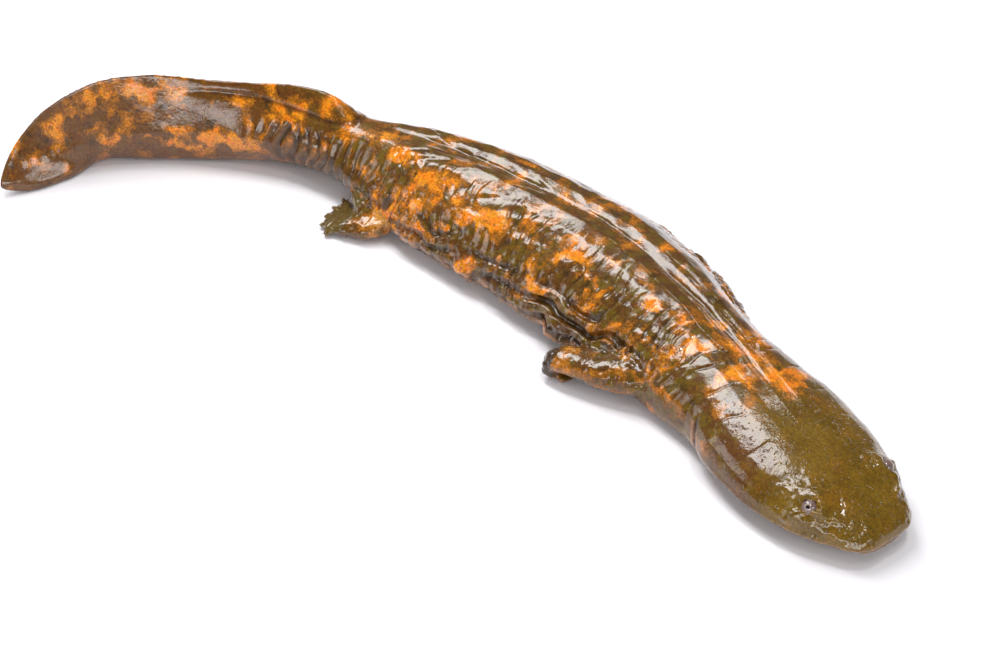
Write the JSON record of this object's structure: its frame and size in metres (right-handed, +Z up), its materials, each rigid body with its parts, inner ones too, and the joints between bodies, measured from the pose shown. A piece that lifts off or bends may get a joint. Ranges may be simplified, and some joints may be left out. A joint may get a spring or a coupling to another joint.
{
  "type": "salamander",
  "caption": "Hellbender, a giant aquatic salamander, lying on its belly with the head forward and the deep tail curled round behind",
  "frame": {"origin": "centre of the bounding box on the floor that the animal lies on", "axes": "+X the long way of the lying animal, towards the head; +Y towards the animal's left; +Z up"},
  "size_m": [0.4002, 0.14, 0.04],
  "materials": {
    "head_skin": "wet olive-brown skin, glossy",
    "jaw_skin": "paler wet skin of the lower jaw",
    "body_skin": "wet dark olive skin with orange patches, glossy",
    "limb_skin": "wet mottled brown and orange skin, glossy",
    "eye": "pinkish grey ring with a small black pupil, glossy"
  },
  "bodies": {
    "root": {"head": "head_skin", "lower_jaw": "jaw_skin", "neck": "body_skin", "trunk_front": "body_skin", "trunk_middle": "body_skin", "trunk_rear": "body_skin", "tail_root": "body_skin", "tail_middle": "body_skin", "tail_tip": "body_skin", "upper_arm_right": "limb_skin", "forearm_right": "limb_skin", "hand_right": "limb_skin", "upper_arm_left": "limb_skin", "forearm_left": "limb_skin", "hand_left": "limb_skin", "hind_leg_right": "limb_skin", "hind_foot_right": "limb_skin", "hind_leg_left": "limb_skin", "hind_foot_left": "limb_skin", "eye_right": "eye", "eye_left": "eye"}
  },
  "joints": []
}
